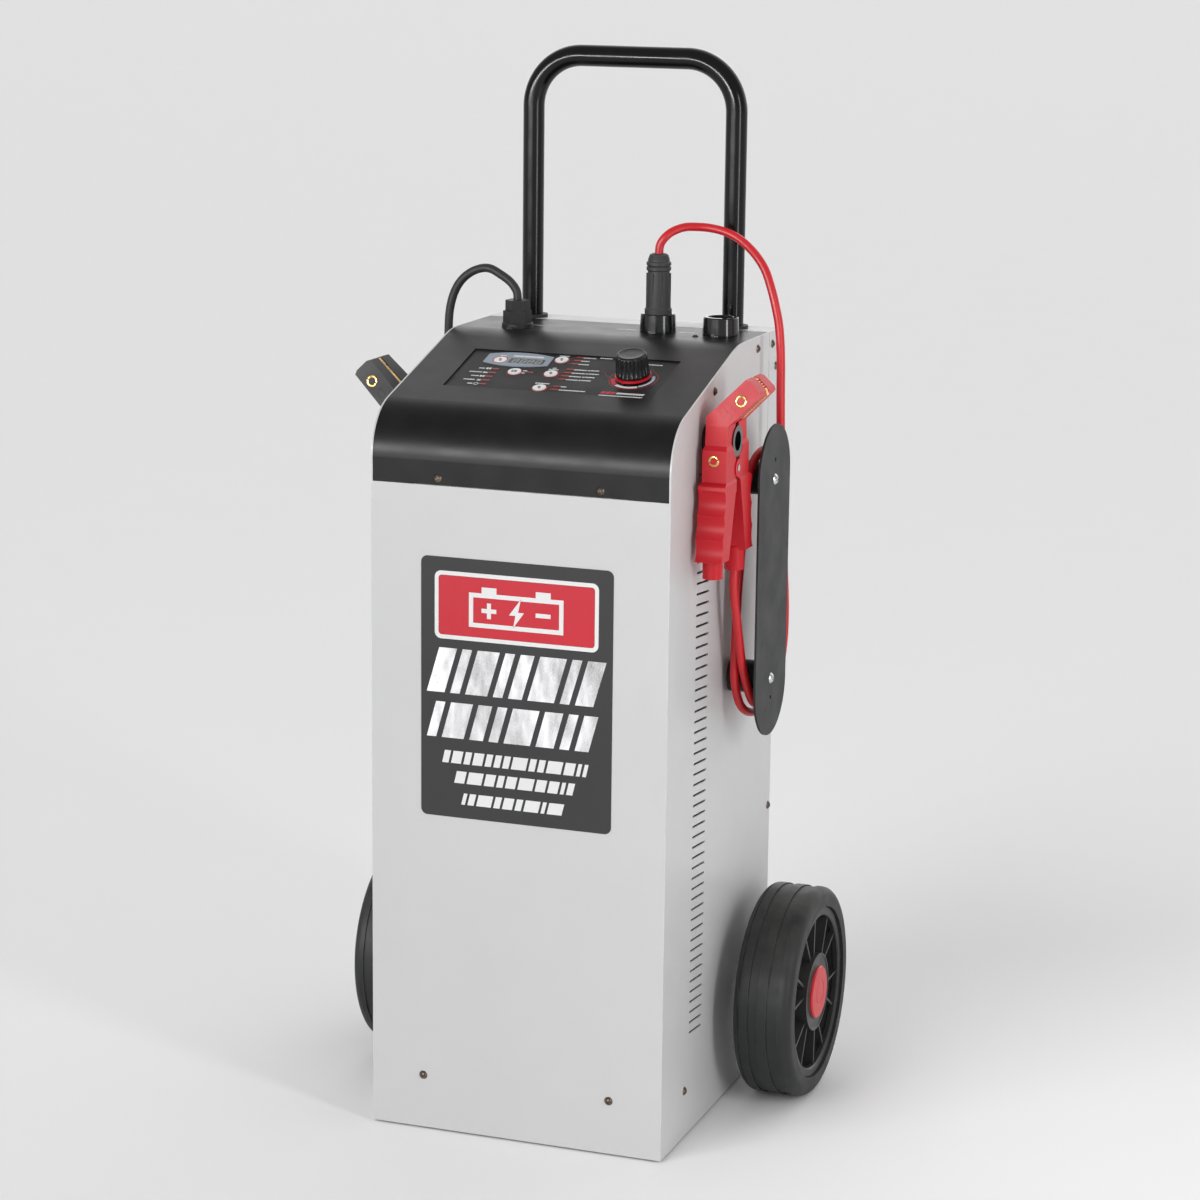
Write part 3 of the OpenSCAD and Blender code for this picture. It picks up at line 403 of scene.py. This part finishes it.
def rounded(u0, v0, u1, v1, r, steps=6):
    """A box with round corners."""
    out = []
    corners = ((u1 - r, v1 - r, 0), (u0 + r, v1 - r, 90), (u0 + r, v0 + r, 180), (u1 - r, v0 + r, 270))
    for cu, cv, start in corners:
        for k in range(steps + 1):
            a = math.radians(start + 90 * k / steps)
            out.append((cu + r * math.cos(a), cv + r * math.sin(a)))
    return out


def loop(outer, inner, low, high):
    """Closed solid between two outlines that have the same number of points."""
    n = len(outer)
    points = [(u, v, h) for h in (low, high) for line in (outer, inner) for u, v in line]
    faces = []
    for i in range(n):
        j = (i + 1) % n
        faces += [(i, j, 2 * n + j, 2 * n + i), (n + j, n + i, 3 * n + i, 3 * n + j),
                  (2 * n + i, 2 * n + j, 3 * n + j, 3 * n + i), (j, i, n + i, n + j)]
    return points, faces


def circle(cu, cv, r, steps=48):
    turns = [math.tau * k / steps for k in range(steps)]
    return [(cu + r * math.cos(a), cv + r * math.sin(a)) for a in turns]


def arc(cu, cv, r_in, r_out, start, end, steps=16):
    """A band around a centre, between two angles in degrees."""
    angles = [math.radians(start + (end - start) * k / steps) for k in range(steps + 1)]
    return ([(cu + r_out * math.cos(a), cv + r_out * math.sin(a)) for a in angles]
            + [(cu + r_in * math.cos(a), cv + r_in * math.sin(a)) for a in reversed(angles)])


def stroke(start, end, width):
    """A bar from one point to another."""
    a, b = Vector(start), Vector(end)
    across = (b - a).normalized().orthogonal() * width / 2
    return [tuple(p) for p in (a + across, b + across, b - across, a - across)]


def dashes(u0, u1, v, height, gap=0.45, longest=2.6):
    """A row of short leaning bars that takes the place of a printed word."""
    out, u = [], u0
    while u < u1 - 0.5:
        length = min(u1 - u, random.uniform(0.9, longest))
        out.append(rect(u, v - height / 2, u + length, v + height / 2, height * 0.2))
        u += length + gap
    return out


# ---------------------------------------------------------------- control panel print

BROW_Z = 622
BROW_R = 50
SHEET = 1.5
PANEL_UP = 71.3
SLOPE = math.radians(16.6)
SLOPE_Y = BROW_R * (1 - math.sin(SLOPE))
SLOPE_Z = BROW_Z + BROW_R * math.cos(SLOPE)
BEZEL_T = 0.8
WINDOW_UP = 0.6
BUTTON_UP = 0.9
SKIRT_TOP = 4.6
KNOB = (67.6, 0.6)
INK = (-0.05, 0.1)


def on_panel(u, v, h):
    """Across, along and above the control panel's face, from the panel's middle."""
    h -= SHEET
    return at(u, SLOPE_Y + (PANEL_UP + v) * math.cos(SLOPE) - h * math.sin(SLOPE),
              SLOPE_Z + (PANEL_UP + v) * math.sin(SLOPE) + h * math.cos(SLOPE))


def on_bezel(u, v, h):
    return on_panel(u, v, h + BEZEL_T)


def panel_print(name, outlines, finish, place=on_panel, body="cabinet"):
    return piece(name, [prism(o, *INK) for o in outlines], place, finish, body)


# Rows of print beside the lights, the buttons and the knob: from, to, height along the slope
STATUS_WORDS = ((-81, -74.8, 3), (-87.2, -75.2, -5.2), (-82.4, -75.2, -13.3), (-86.5, -75.2, -21.6),
                (-79.5, -74.6, -29.7))
START_WORDS = ((-38.4, -34.8, 2.9), (-38.2, -35.4, -1.8))
MODE_WORDS = ((-16.2, -7.1, 38.8), (6.8, 19, 37.6), (22.6, 34, 39.2), (7, 15, 30.7), (7.1, 17.6, 23.6))
CURRENT_WORDS = ((-13.2, -9.3, 12.3), (-16.1, -7, 9.2), (-17.9, -4.6, -20.6), (7.6, 20, 11.7),
                 (7.7, 20.5, 4.6), (7.7, 19.5, -2.5), (7.4, 18.5, -9.6), (23.4, 31, 12), (23.8, 33, 4.9),
                 (22.8, 31.5, -2.2), (21.8, 30.8, -9.3))
BATTERY_WORDS = ((7.9, 13.4, -24.8), (8.5, 33, -31.6))
KNOB_WORDS = ((71, 84.2, 32), (47.6, 88, -36.4))
WORD_H = 1.7
words = []
for u0, u1, v in STATUS_WORDS + START_WORDS + MODE_WORDS + CURRENT_WORDS + BATTERY_WORDS + KNOB_WORDS:
    words += dashes(u0, u1, v, WORD_H)
panel_print("panel_words", words, print_white)
marks = [rect(-73.9, 1.6, -71.8, 4.8), rect(-71.2, 1.6, -69.3, 4.8), rect(-73.6, -6.6, -71.9, -4),
         rect(-71.6, -6.4, -69.5, -4.6), rect(-73.8, -14.8, -71.9, -11.8), rect(-71.3, -14.8, -69.4, -11.8),
         rect(-73.4, -23, -69.8, -22.2), rect(-73.4, -21.4, -69.8, -20.4), rect(20.6, 11, 22.6, 12.6, 0.5),
         rect(21.2, 3.9, 23, 5.5, 0.5), rect(20, -3.2, 22, -1.6, 0.5), rect(19, -10.3, 21, -8.7, 0.5)]
panel_print("panel_marks", marks, print_white)
piece("panel_ring_mark", [loop(circle(-71.4, -29.7, 2.3, 24), circle(-71.4, -29.7, 1.7, 24), *INK)], on_panel,
      print_white, "cabinet")
white_band = [rect(62.2 + k * 2.6, -32.3, 64.2 + k * 2.6, -29.2, 0.9) for k in range(10)]
panel_print("panel_band_white", white_band, print_white)
red_band = [rect(47.6 + k * 4.6, -32.8, 51.2 + k * 4.6, -28.6, 1.3) for k in range(3)]
panel_print("panel_band_red", red_band, print_field)
bezel_words = dashes(-58, -28.5, 31.2, 3.0, 0.5, 2.2) + dashes(-70.4, -64.6, 30.4, 1.4)
panel_print("bezel_words", bezel_words, print_white, on_bezel)

BUTTONS = {"meter_button": (-67.4, 21.6), "start_button": (-45.3, -0.5), "mode_button": (-11, 29.9),
           "current_button": (-10.6, 0), "battery_button": (-10.4, -30.2)}
# Lines that fan out from a button's ring to its lights, and from the lights to the knob
FAN_R = 6.6
FAN_SPREAD = 4.2
FAN_END = 0.3
lines = []
for name, ends in (("mode_button", (38, 30.9, 23.8)), ("current_button", (11.8, 4.7, -2.4, -9.5)),
                   ("battery_button", (-24.7, -31.5))):
    u, v = BUTTONS[name]
    for end in ends:
        side = max(-FAN_SPREAD, min(FAN_SPREAD, end - v))
        reach = math.sqrt(FAN_R ** 2 - side ** 2)
        lines.append(stroke((u + reach, v + side), (FAN_END, end), 0.3))
lines += [stroke((33.6, 12), (36.6, 11.4), 0.35), stroke((36.6, 11.4), (42.2, 2.3), 0.35),
          stroke((42.2, 2.3), (46, 2.3), 0.35)]
panel_print("panel_lines", lines, print_red)
for name, (u, v) in BUTTONS.items():
    place = on_bezel if name == "meter_button" else on_panel
    ring = loop(circle(u, v, 7.0), circle(u, v, 6.3), *INK)
    piece(name + "_ring", [ring], place, print_field, "cabinet")
piece("knob_ring", [loop(circle(*KNOB, 22.3, 96), circle(*KNOB, 21.7, 96), *INK)], on_panel, print_red,
      "cabinet")
panel_print("knob_arc_red", [arc(*KNOB, 16.6, 20.3, 186, 229)], print_field)
panel_print("knob_arc_white", [arc(*KNOB, 16.6, 20.0, 231, 299)], print_white)
panel_print("knob_arc_pale", [arc(*KNOB, 16.6, 19.4, 302, 386, 24)], print_pale)


def on_button(u, v, h):
    return on_panel(u, v, h + BUTTON_UP)


for name, (u, v) in BUTTONS.items():
    if name == "start_button":
        icon = [rect(u - 2.9, v - 2.2, u - 2.1, v + 2.2), rect(u - 1.5, v - 2.2, u - 0.7, v + 2.2),
                [(u + 0.1, v - 2.4), (u + 3.1, v), (u + 0.1, v + 2.4)]]
    else:
        icon = [[(u - 2.2, v + 0.5), (u + 1.2, v + 0.5), (u - 0.5, v + 3.0)],
                [(u - 1.2, v - 0.5), (u + 0.5, v - 3.0), (u + 2.2, v - 0.5)]]
    piece(name + "_icon", [prism(o, -0.04, 0.06) for o in icon], on_button, print_dark, name)


def on_window(u, v, h):
    return on_panel(u, v, h + WINDOW_UP)


# The seven bars of a display digit, from its middle, before it leans
SEGMENTS = (((-2, 3.4), (2, 3.4)), ((-2, 0), (2, 0)), ((-2, -3.4), (2, -3.4)), ((-2.3, 3.1), (-2.3, 0.3)),
            ((2.3, 3.1), (2.3, 0.3)), ((-2.3, -0.3), (-2.3, -3.1)), ((2.3, -0.3), (2.3, -3.1)))
DIGIT_LEAN = 0.12
digits = []
for k in range(4):
    u, v = -52.6 + k * 7.4, 21.5
    for a, b in SEGMENTS:
        start = (u + a[0] + a[1] * DIGIT_LEAN, v + a[1])
        end = (u + b[0] + b[1] * DIGIT_LEAN, v + b[1])
        digits.append(stroke(start, end, 0.8))
panel_print("window_digits", digits, print_grey, on_window)


# ---------------------------------------------------------------- knob with flutes

def knob_profile():
    """(height above the skirt, radius, depth of the flutes) up the side and in over the top."""
    rows = [(0.1, 15.0, 0.0), (0.4, 15.3, 0.0), (2.4, 15.2, 0.0), (2.9, 15.1, 0.8), (10, 14.6, 1.0),
            (17.6, 14.0, 1.0)]
    for k in range(1, 7):
        a = math.radians(15 * k)
        rows.append((17.6 + 2.6 * math.sin(a), 11.4 + 2.6 * math.cos(a), 1.0 - k / 6))
    return rows + [(20.0, 10.6, 0.0), (19.8, 9.8, 0.0), (19.8, 4.0, 0.0)]


def add_knob():
    flutes, fine = 24, 8
    count = flutes * fine
    rows = knob_profile()
    points = []
    for h, r, depth in rows:
        for k in range(count):
            a = math.tau * k / count
            wave = max(0.0, math.cos(a * flutes)) ** 0.8
            radius = r - depth * wave
            points.append((KNOB[0] + radius * math.cos(a), KNOB[1] + radius * math.sin(a), h + SKIRT_TOP))
    faces = []
    for i in range(len(rows) - 1):
        for k in range(count):
            j = (k + 1) % count
            faces.append((i * count + k, i * count + j, (i + 1) * count + j, (i + 1) * count + k))
    faces += [tuple(range(count))[::-1], tuple((len(rows) - 1) * count + k for k in range(count))]
    ob = piece("knob_body", [(points, faces)], on_panel, knob_black, "selector")
    for face in ob.data.polygons:
        face.use_smooth = len(face.vertices) == 4
    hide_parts("selector_knob")


add_knob()


# ---------------------------------------------------------------- front label and hood print

LABEL_T = 0.4
LABEL_INK = (-0.05, 0.12)


def on_label(u, v, h):
    """Across, up and out of the front label's face."""
    return at(u, -LABEL_T - h, v)


def label_print(name, outlines, finish):
    return piece(name, [prism(o, *LABEL_INK) for o in outlines], on_label, finish, "cabinet")


frame_line = loop(rounded(-78.7, 463.2, 75.8, 524.6, 6), rounded(-75.1, 466.9, 72.2, 520.9, 3.2), *LABEL_INK)
piece("label_frame", [frame_line], on_label, print_white, "cabinet")
label_print("label_field", [rounded(-74.9, 467.1, 72, 520.7, 3.2)], print_field)


def on_field(u, v, h):
    return on_label(u, v, h + LABEL_INK[1])


# A battery in outline with its two posts, a plus, a minus and a bolt
case = [rect(-46, 476, 43, 480), rect(-46, 503, 43, 507), rect(-46, 480, -42, 503), rect(39, 480, 43, 503)]
posts = [rect(-34, 507, -20, 512.5), rect(17, 507, 31, 512.5)]
plus = [rect(-34, 489.6, -20, 493.4), rect(-28.9, 484.5, -25.1, 489.6), rect(-28.9, 493.4, -25.1, 498.5)]
minus = [rect(17, 489.6, 31, 493.4)]
bolt = [[(-4, 478.5), (6, 492.5), (0.5, 492.5), (3, 504.5), (-8, 489.5), (-2, 489.5)]]
badge = case + posts + plus + minus + bolt
piece("label_badge", [prism(o, *INK) for o in badge], on_field, print_white, "cabinet")

BAR_GAP = 5.4
SMALL_GAP = 2.4
bars = []
for low, high, lean, widths in ((414.2, 455, 12, (17, 9, 21, 9, 13, 25, 9, 17)),
                                (373, 405.6, 9, (9, 21, 13, 9, 25, 17, 9, 13))):
    u = -86.3
    for width in widths:
        bars.append(rect(u, low, u + width, high, lean))
        u += width + BAR_GAP
label_print("label_bars", bars, foil)
small = []
for low, high, u0, u1 in ((350, 361.4, -71.4, 66), (332, 343, -59.8, 53.4), (312.5, 323, -53, 46)):
    u = u0
    while u < u1 - 4:
        length = min(u1 - u, random.choice((3.5, 6, 9.5, 14)))
        small.append(rect(u, low, u + length, high, 2.6))
        u += length + SMALL_GAP
label_print("label_small_bars", small, print_white)

TOP = 714


def on_top(u, v, h):
    return at(u, v, TOP + h)


top_words = dashes(-82, -66, 231, 2.2, 0.7, 3.6)
top_words += dashes(4, 25, 236, 3.4, 0.8, 4)
top_words += dashes(64, 84, 240, 3.4, 0.8, 4)
piece("top_words", [prism(o, *INK) for o in top_words], on_top, print_white, "cabinet")


# ---------------------------------------------------------------- clamp fittings

# Pivots: 1 is the red clamp on the right, -1 the black clamp on the left, whose X is mirrored
PIVOTS = {1: (158, 95, 618), -1: (153, 102, 613)}


def clamp_face(side, back, face):
    """Across, up and out of one face of a clamp; face(v, h) gives the depth and back turns it round."""
    px, py, pz = PIVOTS[side]
    turn = -1 if back else 1

    def place(u, v, h):
        return at(side * (px + u), py + turn * face(v, h), pz + v)
    return place


def on_jaw(side, back):
    return clamp_face(side, back, lambda v, h: -27 + (v - 40) * 7 / 44 - h)


def on_body(side, back):
    return clamp_face(side, back, lambda v, h: -31.6 - h)


def inside(side, back):
    return clamp_face(side, back, lambda v, h: -5 + h)


def rivet(u, v, r):
    """A rolled brass ring with a low dome in it, split in two by a slot."""
    rows = ((r, -0.3), (r, 0.25), (r * 0.9, 0.6), (r * 0.74, 0.7), (r * 0.6, 0.45), (r * 0.56, -0.3))
    solids = []
    for start in (28, 208):
        steps = 14
        points, faces = [], []
        for k in range(steps + 1):
            a = math.radians(start + 164 * k / steps)
            points += [(u + q * math.cos(a), v + q * math.sin(a), h) for q, h in rows]
        n = len(rows)
        for k in range(steps):
            for i in range(n):
                j = (i + 1) % n
                faces.append((k * n + i, k * n + j, (k + 1) * n + j, (k + 1) * n + i))
        faces += [tuple(range(n))[::-1], tuple(steps * n + i for i in range(n))]
        solids.append((points, faces))
    return solids


SIGN = (8.4, 53)
SIGN_INK = (-0.2, 0.3)
JAW_RIVET = (20.6, 63)
CONTACT = [(-8, 38.6), (9.4, 38.6), (9.4, 41), (12.5, 45), (-8, 45)]
BLADE = [(-3.6, -9), (3.6, -9), (3.6, 9.5), (-3.6, 9.5)]
BRAID = [(-9, -22), (9.6, -22), (9.6, -10), (-9, -10)]


def polarity_sign(cross):
    """A ring with a bar, and a second bar across it on the positive clamp."""
    sign = [loop(circle(*SIGN, 6.4, 32), circle(*SIGN, 5.7, 32), *SIGN_INK),
            prism(stroke((4.6, 49.2), (12.2, 56.8), 1.1), *SIGN_INK)]
    if cross:
        sign.append(prism(stroke((4.6, 56.8), (12.2, 49.2), 1.1), *SIGN_INK))
    return sign


def add_clamp(colour, side, shell):
    for part, back, body in (("lever", False, colour + "_lever"), ("fixed", True, "cabinet")):
        stem = colour + "_" + part
        jaw, grip, inner = on_jaw(side, back), on_body(side, back), inside(side, back)
        dot = prism(circle(*JAW_RIVET, 1.9, 20), -0.3, 0.35)
        piece(stem + "_rivet_jaw", rivet(*JAW_RIVET, 5.3), jaw, brass, body)
        piece(stem + "_rivet_body", rivet(-0.8, 9.8, 5.0), grip, brass, body)
        piece(stem + "_rivet_dots", [dot], jaw, shell, body)
        piece(stem + "_sign", polarity_sign(colour == "red"), jaw, shell, body)
        piece(stem + "_contact", [prism(CONTACT, 0.0, 1.1)], inner, brass, body)
        piece(stem + "_blade", [prism(BLADE, 0.0, 0.9)], inner, brass, body)
    piece(colour + "_braid", [prism(BRAID, 1.6, 4.6)], inside(side, True), braid, "cabinet")


add_clamp("red", 1, red_plastic)
add_clamp("black", -1, soft_black)


# ---------------------------------------------------------------- light and floor

FLOOR_HALF = 80


def add_sky():
    """A white studio that is bright low behind the object, and dimmer above it and in front."""
    world = bpy.data.worlds.new("studio")
    bpy.context.scene.world = world
    world.use_nodes = True
    tree = world.node_tree
    coord = tree.nodes.new("ShaderNodeTexCoord")
    split = tree.nodes.new("ShaderNodeSeparateXYZ")
    fade = tree.nodes.new("ShaderNodeMapRange")
    for key, value in (("From Min", 0.25), ("From Max", 0.95), ("To Min", 0.36), ("To Max", 1.6)):
        fade.inputs[key].default_value = value
    tree.links.new(coord.outputs["Generated"], split.inputs[0])
    tree.links.new(split.outputs["Y"], fade.inputs["Value"])
    tree.links.new(fade.outputs["Result"], tree.nodes["Background"].inputs["Strength"])
    tree.nodes["Background"].inputs["Color"].default_value = (1, 1, 1, 1)


def add_sun(name, direction, strength, angle):
    """A wide sun that lights matt surfaces and doesn't show as a reflection."""
    data = bpy.data.lights.new(name, "SUN")
    data.energy = strength
    data.angle = math.radians(angle)
    ob = new_object(name, data)
    ob.rotation_euler = Vector(direction).to_track_quat("-Z", "Y").to_euler()
    ob.visible_glossy = False


def add_strip(name, place, aim, size, power, diffuse=True):
    """A strip light; with diffuse off it only shows as a reflection."""
    data = bpy.data.lights.new(name, "AREA")
    data.shape = "RECTANGLE"
    data.size, data.size_y = size
    data.energy = power
    ob = new_object(name, data)
    ob.location = place
    ob.rotation_euler = (Vector(aim) - Vector(place)).to_track_quat("-Z", "Y").to_euler()
    ob.visible_diffuse = diffuse


def add_stage():
    add_sky()
    bpy.context.scene.view_settings.view_transform = "Standard"
    add_sun("key", (0.42, 0.9, -0.6), 1.35, 40)
    add_strip("brow_strip", (-1.1, -2.9, 1.02), (0, 0, 0.64), (2.6, 0.2), 90, diffuse=False)
    add_strip("edge_strip", (1.8, -1.0, 0.9), (0.15, 0.1, 0.35), (0.3, 1.2), 12)
    near, far = -FLOOR_HALF, FLOOR_HALF
    corners = [(near, near, 0), (far, near, 0), (far, far, 0), (near, far, 0)]
    mesh = bpy.data.meshes.new("floor")
    mesh.from_pydata(corners, [], [(0, 1, 2, 3)])
    floor = new_object("floor", mesh)
    white = material("floor_white", (0.95, 0.95, 0.95), 0.8, spread=0.004, bump=0.02, specular=0.1)
    mesh.materials.append(white)


add_stage()
